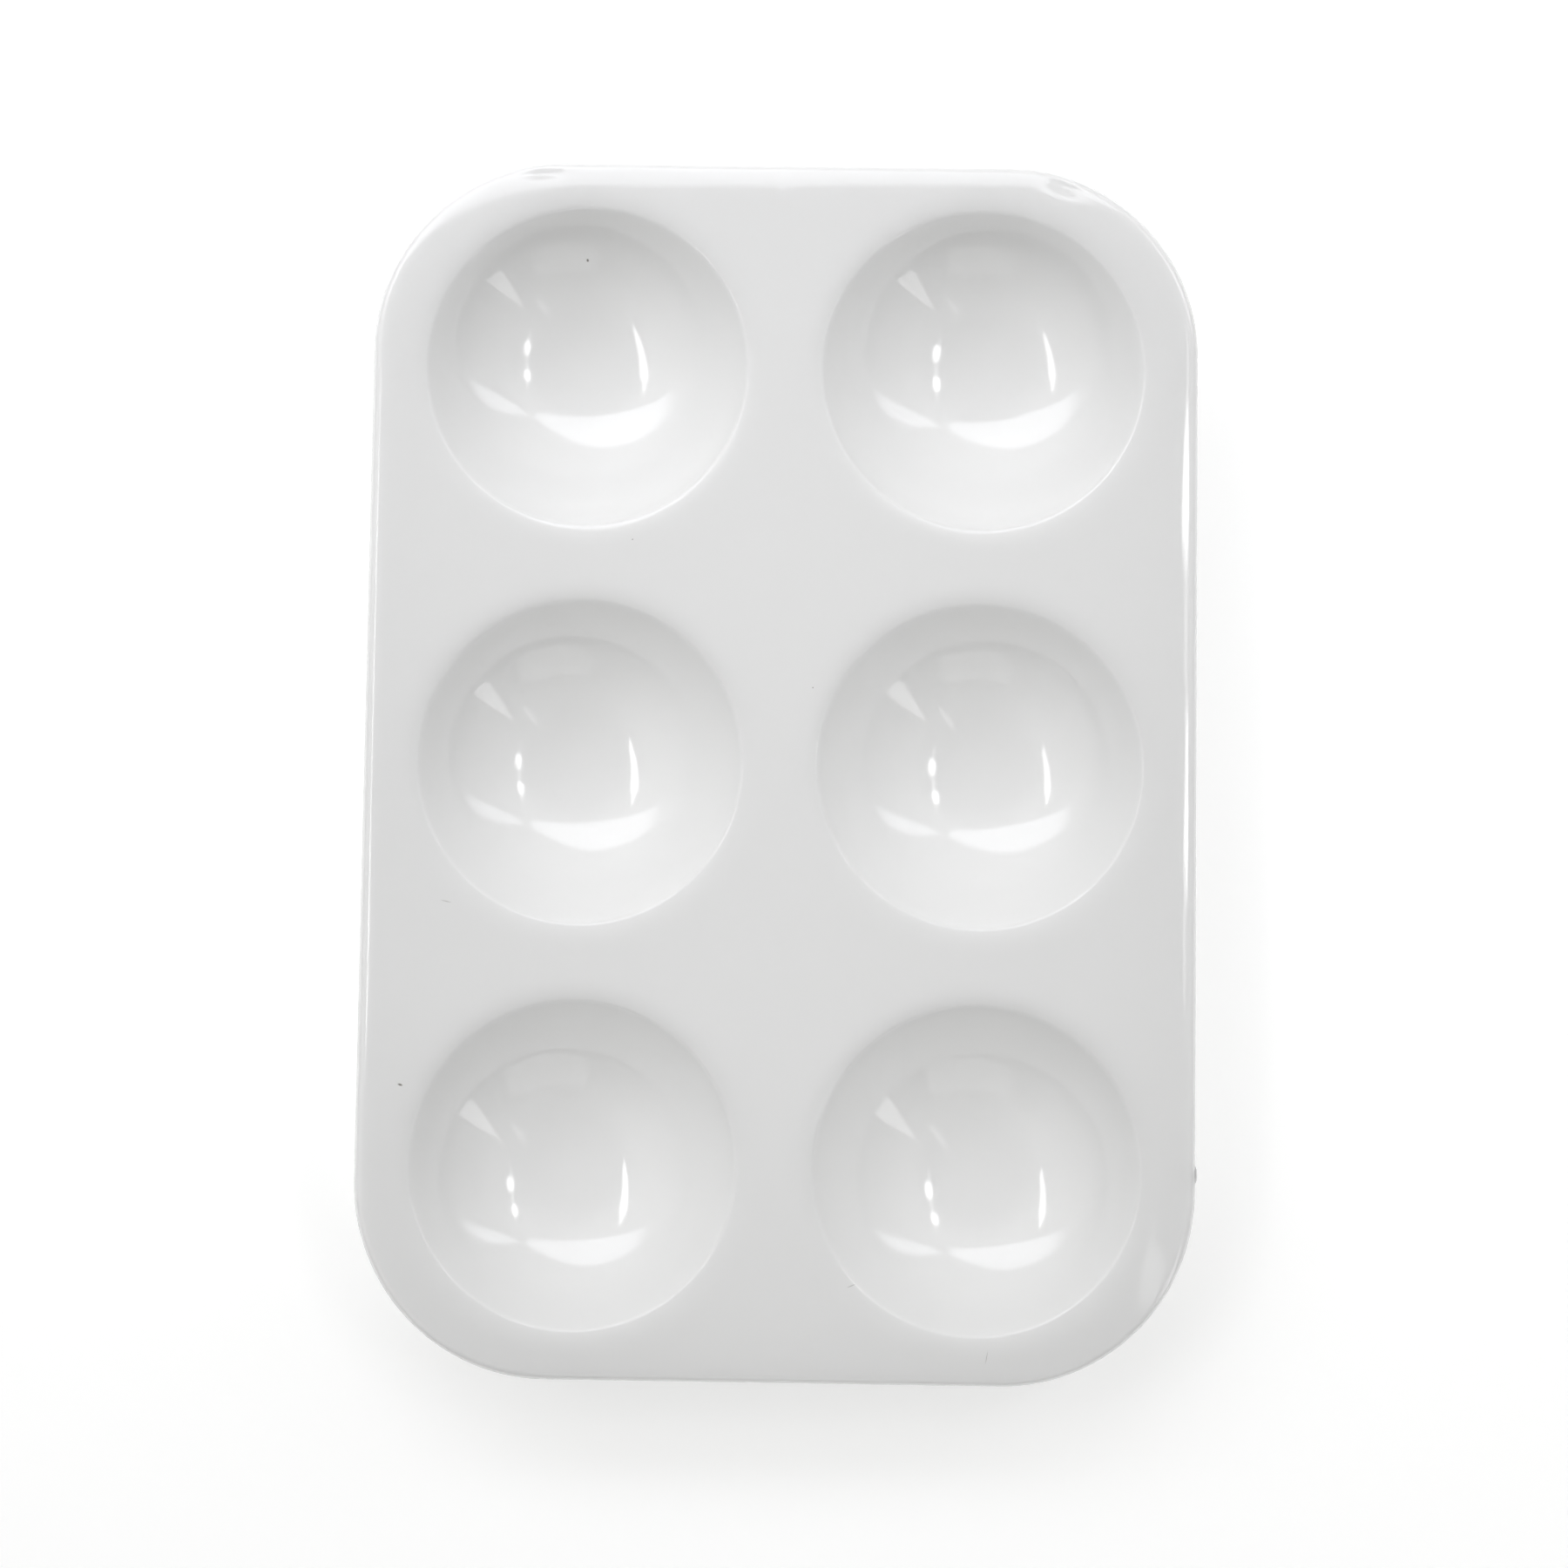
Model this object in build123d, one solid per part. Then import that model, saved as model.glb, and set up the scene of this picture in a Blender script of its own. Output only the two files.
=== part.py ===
from build123d import *
import os
from math import cos, radians, sin

# A six-well mixing palette, moulded in one shot of white polystyrene.
#
# Millimetres, +Z up. The origin is at the middle of the tray, in the plane of its foot rim, so
# the tray stands on Z = 0. X runs across the two columns of wells and Y along the three rows.

# The tray, measured over the foot rim
WIDTH = 89.0
LENGTH = 130.0
HEIGHT = 12.0
FOOT_CORNER_RADIUS = 20.8
WALL = 1.2
DRAFT = 2.0  # degrees that the skirt leans in towards the deck, so that it leaves the mould
EDGE_ROUND = 1.25  # outside, between skirt and deck
INNER_EDGE_ROUND = 0.3  # inside, between skirt and deck

# The wells
COLUMNS = 2
ROWS = 3
PITCH = 42.2  # centre to centre, both ways
LIP_RADIUS = 17.2  # where the dished deck ends and the lip's crisp edge begins
DISH_WIDTH = 2.2  # the ring of deck that dips towards the lip
DISH_SLOPE = 14.0  # degrees, where the dished deck reaches the lip
LIP_ROUND = 0.3  # the crisp edge itself
BOWL_SLOPE = 60.0  # degrees, where the bowl starts below the lip

# The stub left under the deck where the plastic entered the mould
GATE_RADIUS = 1.5
GATE_HEIGHT = 0.5

MOUTH_RISE = 1.0  # how far the cutting shape of a well stands above the deck


def tray_block(inset, height, edge_round):
    """The tray's drafted outer form, drawn in by inset all round, standing on Z = 0."""
    foot = RectangleRounded(WIDTH - 2 * inset, LENGTH - 2 * inset, FOOT_CORNER_RADIUS - inset)
    block = extrude(foot, height, taper=DRAFT)
    top_edges = block.faces().sort_by(Axis.Z)[-1].edges()
    return fillet(top_edges, edge_round)


def tray_shell():
    """The deck and its skirt, open underneath."""
    return tray_block(0, HEIGHT, EDGE_ROUND) - tray_block(WALL, HEIGHT - WALL, INNER_EDGE_ROUND)


def bowl_mouth():
    """Radius and height at which the bowl starts, just under the lip's crisp edge."""
    dish_radius = DISH_WIDTH / sin(radians(DISH_SLOPE))
    dish_drop = dish_radius * (1 - cos(radians(DISH_SLOPE)))
    lip_drop = LIP_ROUND * (cos(radians(DISH_SLOPE)) - cos(radians(BOWL_SLOPE)))
    lip_reach = LIP_ROUND * (sin(radians(BOWL_SLOPE)) - sin(radians(DISH_SLOPE)))
    return LIP_RADIUS - lip_reach, HEIGHT - dish_drop - lip_drop, HEIGHT - dish_drop


def downhill(slope):
    """The direction of a line that runs towards the well's middle, down at slope degrees."""
    return (-cos(radians(slope)), -sin(radians(slope)))


def bowl_sphere():
    """Radius and centre height of the sphere that the bowl's inside belongs to."""
    mouth_radius, mouth_height, _ = bowl_mouth()
    radius = mouth_radius / sin(radians(BOWL_SLOPE))
    return radius, mouth_height + radius * cos(radians(BOWL_SLOPE))


def well_void():
    """All the air over one well: above the dished deck, past the lip and down into the bowl."""
    mouth_radius, mouth_height, lip_height = bowl_mouth()
    sphere_radius, sphere_height = bowl_sphere()
    dish_start = (LIP_RADIUS + DISH_WIDTH, HEIGHT)
    lip = (LIP_RADIUS, lip_height)
    mouth = (mouth_radius, mouth_height)
    bottom = (0, sphere_height - sphere_radius)
    profile = [
        TangentArc(dish_start, lip, tangent=downhill(0)),
        TangentArc(lip, mouth, tangent=downhill(DISH_SLOPE)),
        TangentArc(mouth, bottom, tangent=downhill(BOWL_SLOPE)),
        Polyline(bottom, (0, HEIGHT + MOUTH_RISE), (dish_start[0], HEIGHT + MOUTH_RISE), dish_start),
    ]
    return revolve(Plane.XZ * make_face(profile), Axis.Z)


def bowl_back():
    """The solid cap under one well whose outside is the bowl's underside, one wall down."""
    radius, centre_height = bowl_sphere()
    ball = Pos(0, 0, centre_height) * Sphere(radius + WALL)
    return split(ball, Plane.XY.offset(HEIGHT - WALL / 2), keep=Keep.BOTTOM)


def gate_stub():
    """The gate's stub, at the middle of the deck's underside."""
    return Pos(0, 0, HEIGHT - WALL) * Cylinder(
        GATE_RADIUS, GATE_HEIGHT, align=(Align.CENTER, Align.CENTER, Align.MAX)
    )


def palette_tray():
    """The whole moulding."""
    wells = GridLocations(PITCH, PITCH, COLUMNS, ROWS)
    tray = tray_shell() + gate_stub() + [place * bowl_back() for place in wells]
    return tray - [place * well_void() for place in wells]


os.makedirs("parts", exist_ok=True)
export_step(palette_tray(), "parts/palette_tray.step")
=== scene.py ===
"""A six-well mixing palette: the visual model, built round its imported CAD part.

The palette is one injection moulding. Its surface is drawn here as a fine net of rings round
each well, pressed into shape by a Geometry Nodes tree, and finished as polished polystyrene.
All lengths are in metres, in the CAD part's frame.
"""

import logging
import math
from dataclasses import dataclass, field
from enum import Enum
from typing import ClassVar

import bmesh
import bpy
import numpy as np
from mathutils import Matrix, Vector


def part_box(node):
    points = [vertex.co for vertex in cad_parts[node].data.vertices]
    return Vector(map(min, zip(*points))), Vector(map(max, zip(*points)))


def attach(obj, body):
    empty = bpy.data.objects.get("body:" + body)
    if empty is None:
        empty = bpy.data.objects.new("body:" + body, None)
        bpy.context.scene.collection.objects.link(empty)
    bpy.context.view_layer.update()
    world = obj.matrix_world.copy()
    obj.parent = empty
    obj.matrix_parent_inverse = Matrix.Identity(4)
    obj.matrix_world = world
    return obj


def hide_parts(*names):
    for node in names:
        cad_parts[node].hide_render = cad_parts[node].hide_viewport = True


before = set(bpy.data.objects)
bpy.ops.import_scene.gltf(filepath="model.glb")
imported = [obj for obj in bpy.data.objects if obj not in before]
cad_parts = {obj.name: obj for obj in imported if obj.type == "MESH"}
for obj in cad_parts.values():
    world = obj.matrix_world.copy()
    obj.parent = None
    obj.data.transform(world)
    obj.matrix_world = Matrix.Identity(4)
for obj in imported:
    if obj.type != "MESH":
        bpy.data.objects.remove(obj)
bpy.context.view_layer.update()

LOG = logging.getLogger("palette")
MM = 0.001
TRAY_NODE = "palette_tray"
BODY = "root"


# ---------------------------------------------------------------- helpers


def linear_colour(code: str, alpha: float = 1.0) -> tuple[float, float, float, float]:
    """Turns an sRGB hex colour into linear light.

    Args:
        code: The colour as six hex digits after a hash sign.
        alpha: The opacity to add.

    Returns:
        Red, green and blue in linear light, and the opacity.
    """
    parts = [int(code[i : i + 2], 16) / 255 for i in (1, 3, 5)]
    bent = [c / 12.92 if c <= 0.04045 else ((c + 0.055) / 1.055) ** 2.4 for c in parts]
    return (*bent, alpha)


def add_node(
    tree: bpy.types.NodeTree,
    kind: str,
    inputs: dict[str | int, object] | None = None,
    **settings: object,
) -> bpy.types.Node:
    """Adds a node, sets its options, and fills or links its inputs.

    Args:
        tree: The node tree that gets the node.
        kind: Blender's name for the kind of node.
        inputs: A value, or the output socket to link, for each input named or numbered.
        settings: The node's own options.

    Returns:
        The new node.
    """
    node = tree.nodes.new(kind)
    for name, value in settings.items():
        setattr(node, name, value)
    for key, value in (inputs or {}).items():
        if isinstance(value, bpy.types.NodeSocket):
            tree.links.new(value, node.inputs[key])
        else:
            node.inputs[key].default_value = value
    return node


def calculate(tree: bpy.types.NodeTree, operation: str, *values: object) -> bpy.types.NodeSocket:
    """Adds a Math node and gives its result.

    Args:
        tree: The node tree that gets the node.
        operation: Blender's name for the sum.
        values: Numbers, or sockets that bring them.

    Returns:
        The socket that holds the result.
    """
    node = add_node(tree, "ShaderNodeMath", dict(enumerate(values)), operation=operation)
    return node.outputs[0]


# ---------------------------------------------------------------- the moulding's form


class Face(Enum):
    """The two sides of the moulding's wall that carry the wells."""

    DECK = "deck"
    UNDERSIDE = "underside"


@dataclass(frozen=True)
class RoundedPlan:
    """A rounded rectangle seen from above, centred on the tray's middle."""

    half_width: float
    half_length: float
    corner: float

    def past_core(self, points: np.ndarray) -> np.ndarray:
        """How far points lie past the rectangle that the corner arcs are centred on."""
        core = np.array([self.half_width, self.half_length]) - self.corner
        return np.abs(points) - core

    def distance(self, points: np.ndarray) -> np.ndarray:
        """Distance from the outline.

        Args:
            points: Places seen from above.

        Returns:
            The distance of each, negative inside the outline.
        """
        past = self.past_core(points)
        outside = np.linalg.norm(np.maximum(past, 0), axis=-1)
        return outside + np.minimum(past.max(axis=-1), 0) - self.corner

    def outward(self, points: np.ndarray) -> np.ndarray:
        """The level direction straight out of the outline, at points that lie on it."""
        away = np.sign(points) * np.maximum(self.past_core(points), 0)
        return away / np.linalg.norm(away, axis=-1, keepdims=True)


@dataclass(frozen=True)
class TrayForm:
    """The moulding's sizes. The first three come from the CAD part's box."""

    width: float
    length: float
    height: float
    foot_corner: float = 20.8 * MM
    wall: float = 1.2 * MM
    draft: float = math.radians(2)
    edge_round: float = 1.25 * MM
    inner_edge_round: float = 0.3 * MM
    foot_round: float = 0.15 * MM
    droop_width: float = 7.0 * MM
    droop_slope: float = math.radians(5)
    droop_power: int = 2
    columns: int = 2
    rows: int = 3
    pitch: float = 42.2 * MM
    lip_radius: float = 17.2 * MM
    lip_round: float = 0.3 * MM
    dish_width: float = 2.2 * MM
    dish_slope: float = math.radians(14)
    bowl_slope: float = math.radians(60)

    @property
    def dish_outer(self) -> float:
        """Radius at which the deck starts to dip towards a well."""
        return self.lip_radius + self.dish_width

    @property
    def dish_bend(self) -> float:
        """Radius of the arc that the dipping deck follows."""
        return self.dish_width / math.sin(self.dish_slope)

    @property
    def bowl_mouth(self) -> float:
        """Radius at which the bowl's own sphere starts, inside the lip's crisp edge."""
        return self.lip_radius - self.lip_round * (math.sin(self.bowl_slope) - math.sin(self.dish_slope))

    @property
    def bowl_radius(self) -> float:
        """Radius of the sphere that the bowl belongs to."""
        return self.bowl_mouth / math.sin(self.bowl_slope)

    @property
    def bowl_centre(self) -> float:
        """Height of that sphere's centre above the deck's plane.

        Returns:
            The height, which the dish and the lip's round lower a little.
        """
        dish_drop = self.dish_bend * (1 - math.cos(self.dish_slope))
        lip_drop = self.lip_round * (math.cos(self.dish_slope) - math.cos(self.bowl_slope))
        return self.bowl_radius * math.cos(self.bowl_slope) - dish_drop - lip_drop

    @property
    def droop(self) -> float:
        """How far the deck has sunk where it meets the rounded edge."""
        return self.droop_width * math.tan(self.droop_slope) / (self.droop_power + 1)

    def skirt_inset(self, height: float) -> float:
        """How far the skirt's outside leans in from the foot at a height."""
        return height * math.tan(self.draft)

    @property
    def edge_section(self) -> tuple[float, float]:
        """Where the rounded edge meets the skirt.

        Returns:
            The height of that place, and how far in from there the deck's outline lies.
        """
        steep = math.pi / 2 - self.draft
        meet = self.height - self.droop - self.edge_round * (math.cos(self.droop_slope) - math.cos(steep))
        return meet, self.edge_round * (math.sin(steep) - math.sin(self.droop_slope))

    @property
    def deck_plan(self) -> RoundedPlan:
        """The outline at which the deck ends and the rounded edge begins.

        Returns:
            The outline, worked in from the foot.
        """
        meet, edge_inset = self.edge_section
        inset = self.skirt_inset(meet) + edge_inset
        return RoundedPlan(self.width / 2 - inset, self.length / 2 - inset, self.foot_corner - inset)

    def sunk_at(self, distance: np.ndarray | float) -> np.ndarray | float:
        """How far the deck's margin has sunk at a distance from its outline, negative inside."""
        run = np.clip(1 + distance / self.droop_width, 0, None)
        return self.droop * run ** (self.droop_power + 1)

    def sunk(self, points: np.ndarray) -> np.ndarray:
        """How far the deck's outer margin has sunk.

        Args:
            points: Places on the deck, seen from above.

        Returns:
            The drop at each place, which fades out at the inner side of the margin.
        """
        return self.sunk_at(self.deck_plan.distance(points))

    def section(self) -> list[tuple[float, float]]:
        """The wall's section from the deck's outline, down the outside and up the inside.

        Returns:
            Pairs of distance outward from the deck's outline and height.
        """
        meet, edge_inset = self.edge_section
        crown = self.height - self.droop
        steep = math.pi / 2 - self.draft
        deck_inset = self.skirt_inset(meet) + edge_inset
        fillet = self.inner_edge_round
        inner_foot = deck_inset - self.wall
        inner_edge = inner_foot - self.skirt_inset(crown - self.wall - fillet) - fillet
        inner_top = self.height - self.wall - self.sunk_at(inner_edge)
        arc = np.linspace(self.droop_slope, steep, 11)
        out = []
        for a in arc:
            reach = self.edge_round * (math.sin(a) - math.sin(self.droop_slope))
            drop = self.edge_round * (math.cos(self.droop_slope) - math.cos(a))
            out.append((reach, crown - drop))
        out += [
            (deck_inset - self.skirt_inset(h), h)
            for h in np.linspace(meet, self.foot_round, 6)[1:]
        ]
        outer_turn = np.linspace(0, math.pi / 2, 4)[1:]
        inner_turn = np.linspace(math.pi / 2, 0, 4)
        for foot, side, turn in ((deck_inset, -1, outer_turn), (inner_foot, 1, inner_turn)):
            for a in turn:
                reach = foot + side * self.foot_round * (1 - math.cos(a))
                out.append((reach, self.foot_round * (1 - math.sin(a))))
        fillet_foot = inner_top - fillet
        out += [
            (inner_foot - self.skirt_inset(h), h)
            for h in np.linspace(self.foot_round, fillet_foot, 6)[1:]
        ]
        wall_line = inner_foot - self.skirt_inset(fillet_foot)
        for a in np.linspace(0, math.pi / 2, 5)[1:]:
            out.append((wall_line - fillet * (1 - math.cos(a)), fillet_foot + fillet * math.sin(a)))
        return out


@dataclass(frozen=True)
class Cell:
    """One well and its share of the deck, up to its neighbours or the deck's outline."""

    HALVINGS: ClassVar[int] = 50

    form: TrayForm
    column: int
    row: int

    @property
    def centre(self) -> np.ndarray:
        """The well's middle.

        Returns:
            Its place, seen from above.
        """
        form = self.form
        across = (self.column - (form.columns - 1) / 2) * form.pitch
        along = (self.row - (form.rows - 1) / 2) * form.pitch
        return np.array([across, along])

    def border(self, axis: int, side: int) -> float | None:
        """Where the cell ends beside a neighbour.

        Args:
            axis: 0 across the columns, 1 along the rows.
            side: 1 or -1, the direction along that axis.

        Returns:
            The border's place on that axis, or None where there is no neighbour.
        """
        place, count = ((self.column, self.form.columns), (self.row, self.form.rows))[axis]
        if not 0 <= place + side < count:
            return None
        return float(self.centre[axis] + side * self.form.pitch / 2)

    def corner(self, side_x: int, side_y: int) -> np.ndarray:
        """The cell's corner in one quarter, or the middle of the tray's own rounded corner.

        Args:
            side_x: 1 on the right of the well, -1 on the left.
            side_y: 1 on the far side of the well, -1 on the near side.

        Returns:
            The corner's place, seen from above.
        """
        plan = self.form.deck_plan
        x, y = self.border(0, side_x), self.border(1, side_y)
        if x is None and y is None:
            core = np.array([plan.half_width, plan.half_length]) - plan.corner
            return np.array([side_x, side_y]) * (core + plan.corner / math.sqrt(2))
        x = side_x * plan.half_width if x is None else x
        y = side_y * plan.half_length if y is None else y
        return np.array([x, y])

    def directions(self, steps: int) -> np.ndarray:
        """Unit directions round the well, evenly spaced between the cell's four corners.

        Args:
            steps: How many directions there are from one corner to the next.

        Returns:
            The directions, anticlockwise, starting at the corner right and far.
        """
        corners = [self.corner(*s) - self.centre for s in ((1, 1), (-1, 1), (-1, -1), (1, -1))]
        angles = np.unwrap([math.atan2(y, x) for x, y in (*corners, corners[0])])
        turns = [np.linspace(a, b, steps, endpoint=False) for a, b in zip(angles, angles[1:])]
        turn = np.concatenate(turns)
        return np.stack([np.cos(turn), np.sin(turn)], axis=1)

    def excess(self, points: np.ndarray) -> np.ndarray:
        """How far points lie outside the cell.

        Args:
            points: Places seen from above.

        Returns:
            The distance past the border that each lies furthest over, negative inside.
        """
        out = [self.form.deck_plan.distance(points)]
        for axis in (0, 1):
            for side in (-1, 1):
                border = self.border(axis, side)
                if border is not None:
                    out.append(side * (points[:, axis] - border))
        return np.max(out, axis=0)

    def edge_points(self, directions: np.ndarray) -> np.ndarray:
        """Where rays from the well's middle leave the cell, found by halving.

        Args:
            directions: The rays' unit directions.

        Returns:
            The point on the cell's border for each ray.
        """
        near = np.zeros(len(directions))
        far = np.full(len(directions), 2 * self.form.pitch)
        for _ in range(self.HALVINGS):
            middle = (near + far) / 2
            outside = self.excess(self.centre + directions * middle[:, None]) > 0
            far = np.where(outside, middle, far)
            near = np.where(outside, near, middle)
        return self.centre + directions * far[:, None]


@dataclass
class Net:
    """Points and faces of a mesh as it is being drawn, with what the press has to know."""

    points: list[np.ndarray] = field(default_factory=list)
    faces: list[tuple[int, ...]] = field(default_factory=list)
    pressed: list[bool] = field(default_factory=list)
    depth_in_wall: list[float] = field(default_factory=list)

    def add_points(self, points: np.ndarray, pressed: bool, depth: float) -> int:
        """Adds points to the net.

        Args:
            points: The points' places.
            pressed: Whether the wells are pressed into them.
            depth: How deep in the wall they lie.

        Returns:
            The number of the first one.
        """
        first = len(self.points)
        self.points.extend(points)
        self.pressed.extend([pressed] * len(points))
        self.depth_in_wall.extend([depth] * len(points))
        return first

    def add_bands(self, first: int, count: int, rings: int, closed: bool, flipped: bool) -> None:
        """Joins rings of points with four-sided faces.

        Args:
            first: The first point of the first ring.
            count: How many points a ring has.
            rings: How many rings there are.
            closed: Whether each ring's end meets its start.
            flipped: Whether the faces are turned over.
        """
        for ring in range(rings - 1):
            for i in range(count if closed else count - 1):
                j = (i + 1) % count
                low = first + ring * count
                quad = (low + i, low + count + i, low + count + j, low + j)
                self.faces.append(quad[::-1] if flipped else quad)


class TrayNet:
    """Draws the moulding's flat net: deck, skirt and underside, before the wells are pressed."""

    ON_OUTLINE = 1e-9
    # Steps from a well's dish out to the edge of its cell, on each side of the wall
    DECK_SHARES = 7
    UNDERSIDE_SHARES = 5
    # How far the close rings of the lip reach inward and outward
    LIP_INNER_REACH = 0.7 * MM
    LIP_OUTER_REACH = 0.5 * MM
    # Slopes in radians: how far short of the lip's the bowl's even rings stop, and on the back,
    # where its even rings stop and its blend into the deck starts
    BOWL_STOP = 0.065
    BACK_BOWL_END = 0.93
    BACK_LIP_START = 0.95

    def __init__(self, form: TrayForm, steps: int = 32) -> None:
        """Keeps the form and starts an empty net.

        Args:
            form: The moulding's sizes.
            steps: How many directions lie between two corners of a cell.
        """
        self.form = form
        self.steps = steps
        self.net = Net()

    def ring_radii(self, face: Face) -> np.ndarray:
        """Radii of the rings round a well: even steps of slope in the bowl, close at the lip.

        Args:
            face: The side of the wall that the rings lie on.

        Returns:
            The radii, smallest first, without the middle point.
        """
        form = self.form
        if face is Face.DECK:
            bowl = form.bowl_radius * np.sin(np.linspace(0, form.bowl_slope - self.BOWL_STOP, 33)[1:])
            lip_start = form.lip_radius - self.LIP_INNER_REACH
            lip_end = form.lip_radius + self.LIP_OUTER_REACH
            lip = np.linspace(lip_start, lip_end, 20)
            dish = np.linspace(lip_end + 0.25 * MM, form.dish_outer, 7)
        else:
            outer = form.bowl_radius + form.wall
            bowl = outer * np.sin(np.linspace(0, self.BACK_BOWL_END, 17)[1:])
            lip = np.linspace(outer * math.sin(self.BACK_LIP_START), form.dish_outer - 1.1 * MM, 7)
            dish = np.linspace(form.dish_outer - 0.7 * MM, form.dish_outer, 2)
        return np.concatenate([bowl, lip, dish])

    def add_cell(self, cell: Cell, face: Face) -> None:
        """Draws one cell's share of the deck or of the underside.

        Args:
            cell: The well and its share of the tray.
            face: The side of the wall that is drawn.
        """
        form = self.form
        under = face is Face.UNDERSIDE
        depth = form.wall if under else 0.0
        ways = cell.directions(self.steps)
        radii = self.ring_radii(face)
        edge = cell.edge_points(ways)
        if under:
            on_outline = np.abs(form.deck_plan.distance(edge)) < self.ON_OUTLINE
            inset = -form.section()[-1][0]
            edge[on_outline] -= form.deck_plan.outward(edge[on_outline]) * inset
        rings = [cell.centre + ways * r for r in radii]
        shares = np.linspace(0, 1, self.UNDERSIDE_SHARES if under else self.DECK_SHARES)[1:]
        rings += [rings[len(radii) - 1] * (1 - s) + edge * s for s in shares]
        flat = np.concatenate([[cell.centre], *rings])
        heights = form.height - depth - form.sunk(flat)
        first = self.net.add_points(np.column_stack([flat, heights]), True, depth)
        count = len(ways)
        for i in range(count):
            fan = (first, first + 1 + i, first + 1 + (i + 1) % count)
            self.net.faces.append(fan[::-1] if under else fan)
        self.net.add_bands(first + 1, count, len(rings), closed=True, flipped=under)
        if not under:
            self.add_skirt(edge)

    def add_skirt(self, edge: np.ndarray) -> None:
        """Carries the wall's section round the part of a cell's edge that lies on the outline.

        Args:
            edge: The points of the cell's edge, in order round the well.
        """
        form = self.form
        plan = form.deck_plan
        on_outline = np.abs(plan.distance(edge)) < self.ON_OUTLINE
        starts = [i for i in range(len(edge)) if on_outline[i] and not on_outline[i - 1]]
        for start in starts:
            run = [start]
            while on_outline[(run[-1] + 1) % len(edge)]:
                run.append((run[-1] + 1) % len(edge))
            base = edge[run]
            out = plan.outward(base)
            sheets = [
                np.column_stack([base + out * offset, np.full(len(run), height)])
                for offset, height in form.section()
            ]
            first = self.net.add_points(np.concatenate(sheets), False, 0.0)
            self.net.add_bands(first, len(run), len(sheets), closed=False, flipped=False)

    def build(self, name: str) -> bpy.types.Object:
        """Makes the net a mesh object, with the attributes that the press reads.

        Args:
            name: The object's name.

        Returns:
            The object, still flat.
        """
        for column in range(self.form.columns):
            for row in range(self.form.rows):
                cell = Cell(self.form, column, row)
                for face in Face:
                    self.add_cell(cell, face)
        mesh = bpy.data.meshes.new(name)
        mesh.from_pydata([tuple(p) for p in self.net.points], [], self.net.faces)
        pressed = mesh.attributes.new("pressed", "BOOLEAN", "POINT")
        pressed.data.foreach_set("value", self.net.pressed)
        depth = mesh.attributes.new("depth_in_wall", "FLOAT", "POINT")
        depth.data.foreach_set("value", self.net.depth_in_wall)
        tray = bpy.data.objects.new(name, mesh)
        bpy.context.scene.collection.objects.link(tray)
        return tray


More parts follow.
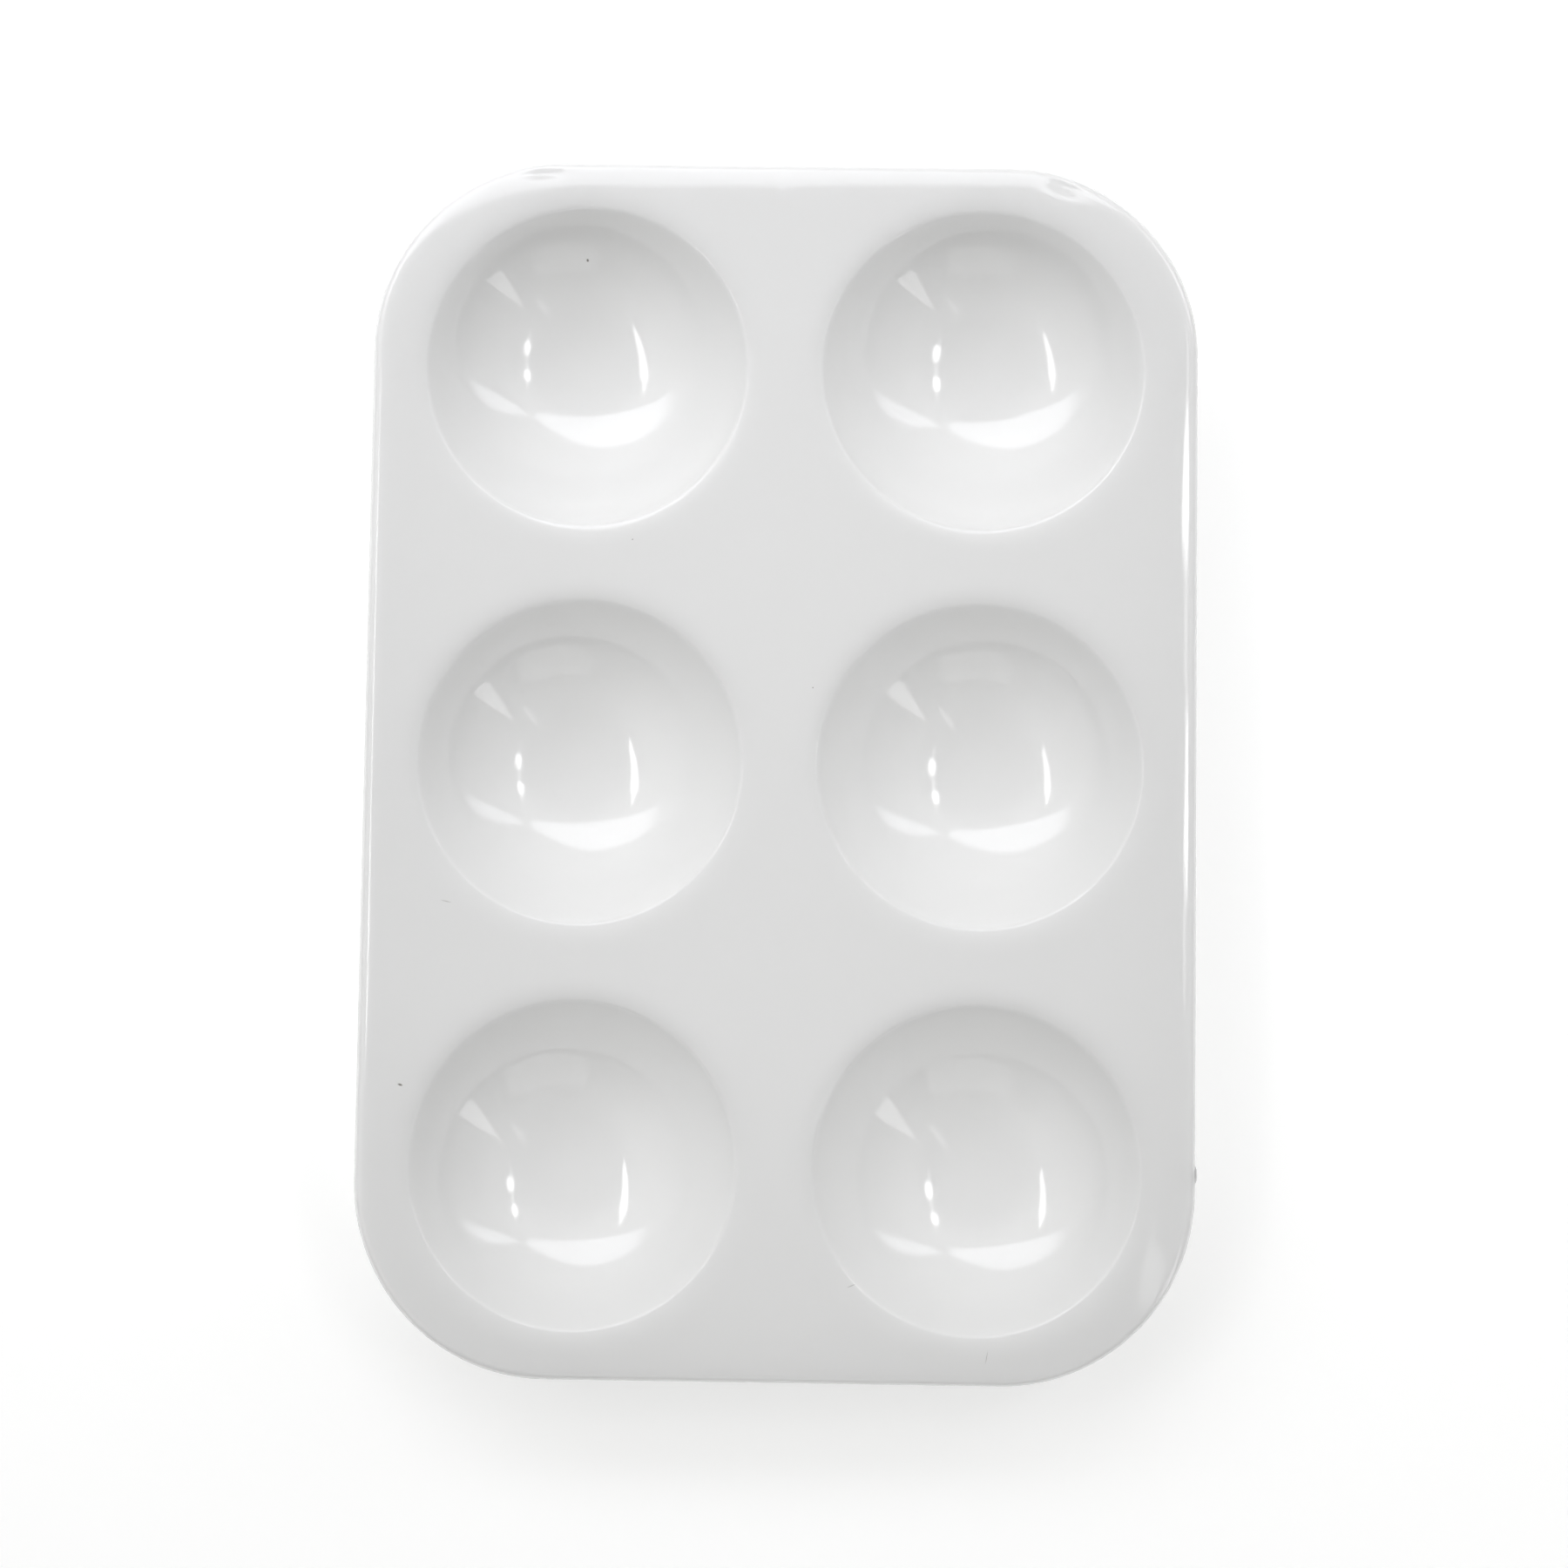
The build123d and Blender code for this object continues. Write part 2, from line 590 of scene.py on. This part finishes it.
class WellPress:
    """The Geometry Nodes tree that presses the wells into the flat net and closes its seams."""

    LIP_BLEND = 0.45 * MM
    BACK_BLEND = 0.6 * MM
    SEAM = 0.002 * MM

    def __init__(self, form: TrayForm, finish: bpy.types.Material) -> None:
        """Keeps the form and the finish, and makes the tree.

        Args:
            form: The moulding's sizes.
            finish: The material that the tree sets.
        """
        self.form = form
        self.finish = finish
        self.sockets: dict[str, str] = {}
        self.tree = bpy.data.node_groups.new("well_press", "GeometryNodeTree")
        self.make_tree()

    def named_values(self) -> dict[str, tuple[str, object]]:
        """The tree's inputs.

        Returns:
            The kind of socket and the value for each name.
        """
        form = self.form
        return {
            "Columns": ("NodeSocketInt", form.columns),
            "Rows": ("NodeSocketInt", form.rows),
            "Pitch": ("NodeSocketFloat", form.pitch),
            "Bowl Radius": ("NodeSocketFloat", form.bowl_radius),
            "Bowl Centre": ("NodeSocketFloat", form.bowl_centre),
            "Dish Outer Radius": ("NodeSocketFloat", form.dish_outer),
            "Dish Bend": ("NodeSocketFloat", form.dish_bend),
            "Dish Reach": ("NodeSocketFloat", 1.4 * form.dish_width),
            "Lip Blend": ("NodeSocketFloat", self.LIP_BLEND),
            "Back Blend": ("NodeSocketFloat", self.BACK_BLEND),
            "Wall": ("NodeSocketFloat", form.wall),
            "Seam": ("NodeSocketFloat", self.SEAM),
            "Finish": ("NodeSocketMaterial", self.finish),
        }

    def make_tree(self) -> None:
        """Builds the tree: where each point's well is, how deep it is there, and the closed mesh."""
        tree = self.tree
        face = tree.interface
        face.new_socket("Geometry", in_out="INPUT", socket_type="NodeSocketGeometry")
        face.new_socket("Geometry", in_out="OUTPUT", socket_type="NodeSocketGeometry")
        for name, (kind, _) in self.named_values().items():
            self.sockets[name] = face.new_socket(name, in_out="INPUT", socket_type=kind).identifier
        given = add_node(tree, "NodeGroupInput").outputs
        away = self.distance_to_well(given)
        depth = add_node(tree, "GeometryNodeInputNamedAttribute", {"Name": "depth_in_wall"}).outputs[0]
        height = self.face_height(given, away, depth)
        drop = add_node(tree, "ShaderNodeCombineXYZ", {"Z": calculate(tree, "ADD", height, depth)})
        pressed = add_node(
            tree, "GeometryNodeInputNamedAttribute", {"Name": "pressed"}, data_type="BOOLEAN"
        )
        moved = add_node(
            tree,
            "GeometryNodeSetPosition",
            {"Geometry": given["Geometry"], "Selection": pressed.outputs[0], "Offset": drop.outputs[0]},
        )
        closed = add_node(
            tree,
            "GeometryNodeMergeByDistance",
            {"Geometry": moved.outputs[0], "Distance": given["Seam"]},
        )
        smooth = add_node(tree, "GeometryNodeSetShadeSmooth", {"Geometry": closed.outputs[0]})
        plain = add_node(tree, "GeometryNodeRealizeInstances", {"Geometry": smooth.outputs[0]})
        dressed = add_node(
            tree,
            "GeometryNodeSetMaterial",
            {"Geometry": plain.outputs[0], "Material": given["Finish"]},
        )
        add_node(tree, "NodeGroupOutput", {"Geometry": dressed.outputs[0]})

    def distance_to_well(self, given: bpy.types.bpy_prop_collection) -> bpy.types.NodeSocket:
        """Adds the nodes that find each point's level distance from the nearest well's middle.

        Args:
            given: The group's inputs, by name.

        Returns:
            The socket that holds the distance.
        """
        tree = self.tree
        span_x, span_y = (
            calculate(tree, "MULTIPLY", calculate(tree, "SUBTRACT", given[count], 1), given["Pitch"])
            for count in ("Columns", "Rows")
        )
        middles = add_node(
            tree,
            "GeometryNodeMeshGrid",
            {
                "Size X": span_x,
                "Size Y": span_y,
                "Vertices X": given["Columns"],
                "Vertices Y": given["Rows"],
            },
        ).outputs[0]
        place = add_node(tree, "GeometryNodeInputPosition").outputs[0]
        nearest = add_node(tree, "GeometryNodeSampleNearest", {0: middles})
        middle = add_node(
            tree,
            "GeometryNodeSampleIndex",
            {"Geometry": middles, "Value": place, "Index": nearest.outputs[0]},
            data_type="FLOAT_VECTOR",
        )
        offset = add_node(
            tree, "ShaderNodeVectorMath", {0: place, 1: middle.outputs[0]}, operation="SUBTRACT"
        )
        level = add_node(
            tree, "ShaderNodeVectorMath", {0: offset.outputs[0], 1: (1.0, 1.0, 0.0)}, operation="MULTIPLY"
        )
        return add_node(
            tree, "ShaderNodeVectorMath", {0: level.outputs[0]}, operation="LENGTH"
        ).outputs["Value"]

    def face_height(
        self,
        given: bpy.types.bpy_prop_collection,
        away: bpy.types.NodeSocket,
        depth: bpy.types.NodeSocket,
    ) -> bpy.types.NodeSocket:
        """Adds the nodes that give a face's height, measured up from the deck's plane.

        The dished deck and the bowl's sphere each have a height at every distance from the
        well's middle. The lower of the two is the face, blended where they cross.

        Args:
            given: The group's inputs, by name.
            away: Distance from the well's middle.
            depth: How deep in the wall the face lies: nothing on the deck, a wall underneath.

        Returns:
            The socket that holds the height.
        """
        tree = self.tree
        reach = calculate(tree, "SUBTRACT", given["Dish Outer Radius"], away)
        reach = calculate(tree, "MINIMUM", calculate(tree, "MAXIMUM", reach, 0.0), given["Dish Reach"])
        bend = given["Dish Bend"]
        dish = calculate(tree, "SUBTRACT", self.third_side(bend, reach), bend)
        dish = calculate(tree, "SUBTRACT", dish, depth)
        ball = calculate(tree, "ADD", given["Bowl Radius"], depth)
        bowl = calculate(tree, "SUBTRACT", given["Bowl Centre"], self.third_side(ball, away))
        share = calculate(tree, "DIVIDE", depth, given["Wall"])
        spread = calculate(tree, "SUBTRACT", given["Back Blend"], given["Lip Blend"])
        blend = calculate(tree, "MULTIPLY_ADD", share, spread, given["Lip Blend"])
        return calculate(tree, "SMOOTH_MIN", dish, bowl, blend)

    def third_side(
        self, longest: bpy.types.NodeSocket, other: bpy.types.NodeSocket
    ) -> bpy.types.NodeSocket:
        """Adds the nodes that give the third side of a right-angled triangle.

        Args:
            longest: The side opposite the right angle.
            other: One of the two shorter sides.

        Returns:
            The socket that holds the remaining side, or 0 where there is no such triangle.
        """
        tree = self.tree
        squares = [calculate(tree, "MULTIPLY", side, side) for side in (longest, other)]
        gap = calculate(tree, "MAXIMUM", calculate(tree, "SUBTRACT", *squares), 0.0)
        return calculate(tree, "SQRT", gap)

    def press(self, tray: bpy.types.Object) -> bpy.types.Object:
        """Runs the tree on the net and leaves a plain mesh.

        Args:
            tray: The object that holds the flat net.

        Returns:
            The same object with the pressed mesh and no modifier.
        """
        modifier = tray.modifiers.new("well_press", "NODES")
        modifier.node_group = self.tree
        for name, (_, value) in self.named_values().items():
            modifier[self.sockets[name]] = value
        shaped = tray.evaluated_get(bpy.context.evaluated_depsgraph_get())
        mesh = bpy.data.meshes.new_from_object(shaped)
        tray.modifiers.remove(modifier)
        tray.data = mesh
        return tray


# ---------------------------------------------------------------- finish


@dataclass(frozen=True)
class Mark:
    """A small oval place on the plastic, seen from above."""

    middle: tuple[float, float]
    half_length: float
    half_width: float
    turn: float = 0.0

    def distance(self, tree: bpy.types.NodeTree, place: bpy.types.NodeSocket) -> bpy.types.NodeSocket:
        """Adds the nodes that measure how far out a point lies: 0 in the middle, 1 at the rim.

        Args:
            tree: The material's node tree.
            place: The point, in object coordinates.

        Returns:
            The socket that holds the distance.
        """
        x, y = self.middle
        local = add_node(
            tree,
            "ShaderNodeMapping",
            {
                "Vector": place,
                "Location": (x * MM, y * MM, 0.0),
                "Rotation": (0.0, 0.0, math.radians(self.turn)),
                "Scale": (self.half_length * MM, self.half_width * MM, 1.0),
            },
            vector_type="TEXTURE",
        )
        return add_node(
            tree, "ShaderNodeVectorMath", {0: local.outputs[0]}, operation="LENGTH"
        ).outputs["Value"]


@dataclass(frozen=True)
class PolishedPolystyrene:
    """Injection-moulded high-impact polystyrene, white, from a polished mould.

    The eye sees an even, faintly warm white that is milky under the surface, and a clear
    gloss that mirrors the lights almost sharply. A few specks and hairs are set in the
    plastic, and the far edge has two shallow dents.
    """

    name: str = "moulded_white_polystyrene"
    white: str = "#F8F8F7"
    speck: str = "#6B655C"
    gloss_roughness: float = 0.06
    haze: float = 0.04
    refraction: float = 1.59
    milk_depth: float = 2.5 * MM
    haze_patch: float = 25 * MM
    speck_strength: float = 0.85
    hair_strength: float = 0.35
    wave_length: float = 9.0 * MM
    wave_height: float = 0.006 * MM
    dent_depth: float = 0.2 * MM
    dents: tuple[Mark, ...] = (
        Mark((-26.5, 62.9), 2.2, 0.6, 2.0),
        Mark((29.5, 62.2), 1.9, 0.8, -20.0),
    )
    specks: tuple[Mark, ...] = (
        Mark((-21.9, 55.4), 0.16, 0.16),
        Mark((-39.2, -34.1), 0.32, 0.14, -15.0),
        Mark((3.4, 8.1), 0.08, 0.08),
        Mark((-15.9, 23.6), 0.1, 0.06, 40.0),
    )
    hairs: tuple[Mark, ...] = (
        Mark((-34.8, -14.9), 0.7, 0.06, -12.0),
        Mark((8.2, -54.2), 0.55, 0.07, 20.0),
        Mark((22.3, -61.3), 0.8, 0.05, 80.0),
    )

    def make(self) -> bpy.types.Material:
        """Builds the material's nodes.

        Returns:
            The new material.
        """
        material = bpy.data.materials.new(self.name)
        material.use_nodes = True
        tree = material.node_tree
        tree.nodes.clear()
        place = add_node(tree, "ShaderNodeTexCoord").outputs["Object"]
        shader = add_node(
            tree,
            "ShaderNodeBsdfPrincipled",
            {
                "Base Color": self.colour(tree, place),
                "Roughness": self.roughness(tree, place),
                "IOR": self.refraction,
                "Subsurface Weight": 1.0,
                "Subsurface Radius": (1.0, 1.0, 1.0),
                "Subsurface Scale": self.milk_depth,
                "Normal": self.relief(tree, place),
            },
        )
        add_node(tree, "ShaderNodeOutputMaterial", {"Surface": shader.outputs[0]})
        return material

    def colour(self, tree: bpy.types.NodeTree, place: bpy.types.NodeSocket) -> bpy.types.NodeSocket:
        """Adds the nodes that colour the plastic white, with its dark specks and grey hairs.

        Args:
            tree: The material's node tree.
            place: The point, in object coordinates.

        Returns:
            The socket that holds the colour.
        """
        covered = 0.0
        for strength, marks in ((self.speck_strength, self.specks), (self.hair_strength, self.hairs)):
            for mark in marks:
                away = mark.distance(tree, place)
                inside = add_node(
                    tree,
                    "ShaderNodeMapRange",
                    {"Value": away, "From Min": 1.0, "From Max": 0.4, "To Max": strength},
                ).outputs[0]
                covered = calculate(tree, "MAXIMUM", inside, covered)
        return add_node(
            tree,
            "ShaderNodeMix",
            {"Factor": covered, 6: linear_colour(self.white), 7: linear_colour(self.speck)},
            data_type="RGBA",
        ).outputs[2]

    def roughness(self, tree: bpy.types.NodeTree, place: bpy.types.NodeSocket) -> bpy.types.NodeSocket:
        """Adds the nodes that vary the polish: faint hazy patches a few centimetres across.

        Args:
            tree: The material's node tree.
            place: The point, in object coordinates.

        Returns:
            The socket that holds the roughness.
        """
        patches = add_node(
            tree, "ShaderNodeTexNoise", {"Vector": place, "Scale": 1 / self.haze_patch, "Detail": 3.0}
        ).outputs[0]
        smoothest = self.gloss_roughness - self.haze / 2
        return calculate(tree, "MULTIPLY_ADD", patches, self.haze, smoothest)

    def relief(self, tree: bpy.types.NodeTree, place: bpy.types.NodeSocket) -> bpy.types.NodeSocket:
        """Adds the nodes that bend the surface: slow moulding waves and the two edge dents.

        Args:
            tree: The material's node tree.
            place: The point, in object coordinates.

        Returns:
            The socket that holds the bent surface direction.
        """
        waves = add_node(
            tree, "ShaderNodeTexNoise", {"Vector": place, "Scale": 1 / self.wave_length, "Detail": 2.0}
        ).outputs[0]
        height = calculate(tree, "MULTIPLY", waves, self.wave_height)
        for dent in self.dents:
            squared = calculate(tree, "POWER", dent.distance(tree, place), 2.0)
            falling = calculate(tree, "EXPONENT", calculate(tree, "MULTIPLY", squared, -1.0))
            height = calculate(tree, "MULTIPLY_ADD", falling, -self.dent_depth, height)
        return add_node(tree, "ShaderNodeBump", {"Height": height, "Distance": 1.0}).outputs[0]


@dataclass(frozen=True)
class StudioPaper:
    """Matt white paper under the palette, which shows soft contact shadows."""

    name: str = "white_studio_paper"
    white: str = "#F7F7F7"
    roughness: float = 0.9
    shine: float = 0.1
    backlight: float = 0.36

    def make(self) -> bpy.types.Material:
        """Builds the material's nodes.

        Returns:
            The new material.
        """
        material = bpy.data.materials.new(self.name)
        material.use_nodes = True
        tree = material.node_tree
        tree.nodes.clear()
        shader = add_node(
            tree,
            "ShaderNodeBsdfPrincipled",
            {
                "Base Color": linear_colour(self.white),
                "Roughness": self.roughness,
                "Specular IOR Level": self.shine,
                "Emission Color": linear_colour(self.white),
                "Emission Strength": self.backlight,
            },
        )
        add_node(tree, "ShaderNodeOutputMaterial", {"Surface": shader.outputs[0]})
        return material


# ---------------------------------------------------------------- the palette


class PaletteTray:
    """The palette: one moulding, which stands for the CAD part's only node."""

    def __init__(self, form: TrayForm, finish: PolishedPolystyrene) -> None:
        """Keeps the form and the finish."""
        self.form = form
        self.finish = finish

    def build(self) -> bpy.types.Object:
        """Draws the net, presses it and puts it in the frame.

        Returns:
            The finished piece.
        """
        tray = TrayNet(self.form).build("moulded_tray")
        material = self.finish.make()
        WellPress(self.form, material).press(tray)
        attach(tray, BODY)
        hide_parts(TRAY_NODE)
        LOG.info("%s: %d faces", tray.name, len(tray.data.polygons))
        FlashNib().build(material)
        return tray


@dataclass(frozen=True)
class FlashNib:
    """A flake of plastic left on the right skirt where the two mould halves met."""

    middle: tuple[float, float, float] = (43.72 * MM, -42.5 * MM, 10.3 * MM)
    half_size: tuple[float, float, float] = (0.7 * MM, 1.3 * MM, 0.9 * MM)

    def build(self, material: bpy.types.Material) -> bpy.types.Object:
        """Makes the flake as a small closed lump, half sunk in the skirt.

        Args:
            material: The tray's own plastic.

        Returns:
            The finished piece.
        """
        form = bmesh.new()
        shape = Matrix.Translation(self.middle) @ Matrix.Diagonal((*self.half_size, 1.0))
        bmesh.ops.create_icosphere(form, subdivisions=3, radius=1.0, matrix=shape)
        mesh = bpy.data.meshes.new("flash_nib")
        form.to_mesh(mesh)
        form.free()
        mesh.shade_smooth()
        mesh.materials.append(material)
        nib = bpy.data.objects.new("flash_nib", mesh)
        bpy.context.scene.collection.objects.link(nib)
        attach(nib, BODY)
        LOG.info("%s: %d faces", nib.name, len(mesh.polygons))
        return nib


# ---------------------------------------------------------------- studio


@dataclass(frozen=True)
class GlowPanel:
    """A luminous patch in the ceiling: bright inside its core and faded out at its outline.

    Both are lists of corners in millimetres, one core corner for each corner of the outline.
    """

    name: str
    outline: tuple[tuple[float, float], ...]
    core: tuple[tuple[float, float], ...]
    radiance: float
    tint: str = "#FFFFFF"
    height: float = 242 * MM

    def material(self) -> bpy.types.Material:
        """Makes light that grows smoothly from the outline to the core.

        Returns:
            The new material, which is clear apart from its light.
        """
        material = bpy.data.materials.new(self.name)
        material.use_nodes = True
        tree = material.node_tree
        tree.nodes.clear()
        glow = add_node(tree, "ShaderNodeAttribute", attribute_name="glow").outputs["Fac"]
        strength = add_node(
            tree,
            "ShaderNodeMapRange",
            {"Value": glow, "To Max": self.radiance},
            interpolation_type="SMOOTHSTEP",
        )
        light = add_node(
            tree, "ShaderNodeEmission", {"Color": linear_colour(self.tint), "Strength": strength.outputs[0]}
        )
        clear = add_node(tree, "ShaderNodeBsdfTransparent")
        both = add_node(tree, "ShaderNodeAddShader", {0: light.outputs[0], 1: clear.outputs[0]})
        add_node(tree, "ShaderNodeOutputMaterial", {"Surface": both.outputs[0]})
        return material

    def build(self) -> bpy.types.Object:
        """Makes the patch, which the camera doesn't see and which casts no shadow.

        Returns:
            The new object.
        """
        count = len(self.outline)
        points = [(x * MM, y * MM, self.height) for x, y in self.outline + self.core]
        band = [(i, (i + 1) % count, count + (i + 1) % count, count + i) for i in range(count)]
        mesh = bpy.data.meshes.new(self.name)
        mesh.from_pydata(points, [], [*band, tuple(range(count, 2 * count))])
        glow = mesh.attributes.new("glow", "FLOAT", "POINT")
        glow.data.foreach_set("value", [0.0] * count + [1.0] * count)
        mesh.materials.append(self.material())
        panel = bpy.data.objects.new(self.name, mesh)
        panel.visible_camera = False
        panel.visible_shadow = False
        bpy.context.scene.collection.objects.link(panel)
        return panel


def oval(
    middle: tuple[float, float], half_width: float, half_length: float
) -> tuple[tuple[float, float], ...]:
    """Corners of a twelve-sided oval.

    Args:
        middle: The oval's middle.
        half_width: Its reach across.
        half_length: Its reach along.

    Returns:
        The corners, anticlockwise.
    """
    x, y = middle
    turns = [math.radians(30 * i) for i in range(12)]
    return tuple((x + half_width * math.cos(t), y + half_length * math.sin(t)) for t in turns)


class Studio:
    """The pale floor, the soft light and the camera."""

    # How brightly each side of the surround glows
    FAR_WALL = 0.64
    NEAR_WALL = 0.12
    RIGHT_WALL = 0.2
    LEFT_WALL = 0.55
    CEILING_RIM = 0.2
    OVERHEAD = 0.09
    # Between which heights, as the sine of the angle above the floor, each part comes in
    WALL_BAND = (0.12, 0.42)
    RIM_BAND = (0.45, 0.7)
    OVERHEAD_BAND = (0.72, 0.93)
    HORIZON_SHARE = 0.12
    FLOOR_REACH = 4.0
    LENS = 37.0
    SENSOR = 36.0
    CAMERA_PLACE = (0.00157, -0.0091, 0.18134)
    CAMERA_TURN = (2.37, 0.332, 0.789)
    PANELS = (
        GlowPanel(
            "far_window",
            (
                (145, 230), (100, 190), (20, 185), (-90, 175), (-225, 170), (-420, 160),
                (-480, 300), (-360, 375), (-225, 395), (-95, 390), (-5, 350), (90, 290),
            ),
            (
                (125, 220), (90, 205), (20, 195), (-90, 185), (-200, 185), (-260, 195),
                (-280, 270), (-240, 320), (-190, 335), (-95, 335), (-10, 295), (70, 250),
            ),
            2.5,
            "#F9FAFF",
        ),
        GlowPanel(
            "far_wall_glow",
            (
                (150, 235), (200, 205), (375, 205), (640, 240), (1000, 300),
                (930, 440), (685, 450), (395, 365), (190, 255),
            ),
            (
                (165, 235), (205, 220), (330, 230), (430, 260), (470, 290),
                (460, 320), (420, 320), (330, 285), (200, 240),
            ),
            2.3,
            "#F9FAFF",
        ),
        GlowPanel(
            "near_wall_gap",
            ((200, -135), (420, -265), (1150, -740), (900, -800), (600, -560), (345, -300)),
            ((205, -140), (425, -275), (1100, -720), (890, -775), (600, -545), (350, -290)),
            2.0,
        ),
        GlowPanel(
            "near_wall_sliver",
            ((85, -90), (125, -120), (170, -185), (160, -190), (110, -140)),
            ((100, -105), (120, -120), (160, -175), (155, -175), (110, -130)),
            1.3,
        ),
        GlowPanel(
            "near_figure",
            (
                (-70, -300), (60, -330), (140, -300), (240, -360), (330, -560),
                (500, -930), (105, -960), (-110, -800), (-140, -520),
            ),
            (
                (-60, -320), (60, -345), (135, -320), (215, -375), (290, -570),
                (420, -860), (105, -880), (-85, -740), (-115, -510),
            ),
            0.65,
        ),
        GlowPanel(
            "left_strip",
            (
                (-164, -80), (-158, -40), (-164, 0), (-168, 45), (-166, 75), (-180, 102), (-187, 140),
                (-197, 140), (-202, 102), (-212, 75), (-200, 45), (-192, 0), (-178, -40),
            ),
            (
                (-165, -60), (-163, -35), (-169, 0), (-173, 45), (-173, 74), (-184, 94), (-190, 120),
                (-194, 120), (-198, 94), (-204, 74), (-194, 45), (-186, 0), (-174, -35),
            ),
            6.5,
        ),
        GlowPanel("right_bulb_far", oval((149, 88), 17, 28), oval((149, 88), 9, 16), 8.5),
        GlowPanel("right_bulb_near", oval((155, 5), 19, 32), oval((155, 5), 10, 17), 8.0),
        GlowPanel("right_tube", oval((151, 45), 9, 110), oval((151, 45), 3, 90), 2.4),
    )

    def build(self) -> None:
        """Makes everything that surrounds the palette."""
        for panel in self.PANELS:
            panel.build()
        self.make_world()
        self.make_floor()
        self.make_camera()
        bpy.context.scene.view_settings.view_transform = "Standard"

    def make_world(self) -> None:
        """Surrounds the scene with soft light: bright far and left, dim near and overhead."""
        world = bpy.data.worlds.new("studio_surround")
        world.use_nodes = True
        tree = world.node_tree
        tree.nodes.clear()
        way = add_node(tree, "ShaderNodeTexCoord").outputs["Generated"]
        height = add_node(tree, "ShaderNodeSeparateXYZ", {0: way}).outputs["Z"]
        level = add_node(
            tree, "ShaderNodeVectorMath", {0: way, 1: (1.0, 1.0, 0.0)}, operation="MULTIPLY"
        )
        level = add_node(tree, "ShaderNodeVectorMath", {0: level.outputs[0]}, operation="NORMALIZE")
        sides = add_node(tree, "ShaderNodeSeparateXYZ", {0: level.outputs[0]}).outputs
        far = calculate(tree, "MAXIMUM", sides["Y"], 0.0)
        right = calculate(tree, "MAXIMUM", sides["X"], 0.0)
        left = calculate(tree, "MAXIMUM", calculate(tree, "MULTIPLY", sides["X"], -1.0), 0.0)
        walls = calculate(tree, "MULTIPLY_ADD", right, self.RIGHT_WALL, self.NEAR_WALL)
        walls = calculate(tree, "MULTIPLY_ADD", left, self.LEFT_WALL, walls)
        overhead = self.fade(tree, height, self.OVERHEAD_BAND)
        rising = self.fade(tree, height, self.WALL_BAND, self.HORIZON_SHARE)
        walls = calculate(tree, "MULTIPLY", walls, rising)
        walls = calculate(tree, "MULTIPLY_ADD", far, self.FAR_WALL, walls)
        rim = self.fade(tree, height, self.RIM_BAND, 0.0, self.CEILING_RIM)
        walls = calculate(tree, "ADD", walls, rim)
        glow = add_node(
            tree, "ShaderNodeMix", {"Factor": overhead, "A": walls, "B": self.OVERHEAD}
        ).outputs[0]
        seen = add_node(tree, "ShaderNodeLightPath").outputs["Is Camera Ray"]
        strength = add_node(tree, "ShaderNodeMix", {"Factor": seen, "A": glow, "B": 1.0}).outputs[0]
        light = add_node(
            tree,
            "ShaderNodeBackground",
            {"Color": linear_colour("#FFFFFD"), "Strength": strength},
        )
        add_node(tree, "ShaderNodeOutputWorld", {"Surface": light.outputs[0]})
        bpy.context.scene.world = world

    @staticmethod
    def fade(
        tree: bpy.types.NodeTree,
        height: bpy.types.NodeSocket,
        band: tuple[float, float],
        low: float = 0.0,
        high: float = 1.0,
    ) -> bpy.types.NodeSocket:
        """Adds a node that changes smoothly from one value to another over a band of heights.

        Args:
            tree: The surround's node tree.
            height: The socket that holds the height.
            band: Where the change starts and ends.
            low: The value below the band.
            high: The value above it.

        Returns:
            The socket that holds the value.
        """
        return add_node(
            tree,
            "ShaderNodeMapRange",
            {"Value": height, "From Min": band[0], "From Max": band[1], "To Min": low, "To Max": high},
            interpolation_type="SMOOTHSTEP",
        ).outputs[0]

    def make_floor(self) -> None:
        """Lays the paper floor in the plane of the foot rim."""
        mesh = bpy.data.meshes.new("paper_floor")
        sides = ((-1, -1), (1, -1), (1, 1), (-1, 1))
        corners = [(x * self.FLOOR_REACH, y * self.FLOOR_REACH, 0.0) for x, y in sides]
        mesh.from_pydata(corners, [], [(0, 1, 2, 3)])
        mesh.materials.append(StudioPaper().make())
        floor = bpy.data.objects.new("paper_floor", mesh)
        bpy.context.scene.collection.objects.link(floor)

    def make_camera(self) -> None:
        """Hangs the camera over the palette, a little to the near side and tipped back."""
        data = bpy.data.cameras.new("overhead_camera")
        data.lens = self.LENS
        data.sensor_width = self.SENSOR
        camera = bpy.data.objects.new("overhead_camera", data)
        camera.location = self.CAMERA_PLACE
        camera.rotation_euler = [math.radians(turn) for turn in self.CAMERA_TURN]
        bpy.context.scene.collection.objects.link(camera)
        bpy.context.scene.camera = camera


def main() -> None:
    """Builds the palette and its studio, and reports each piece."""
    logging.basicConfig(level=logging.INFO, format="%(name)s: %(message)s")
    low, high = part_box(TRAY_NODE)
    size = high - low
    form = TrayForm(size.x, size.y, size.z)
    PaletteTray(form, PolishedPolystyrene()).build()
    Studio().build()


if __name__ == "__main__":
    main()
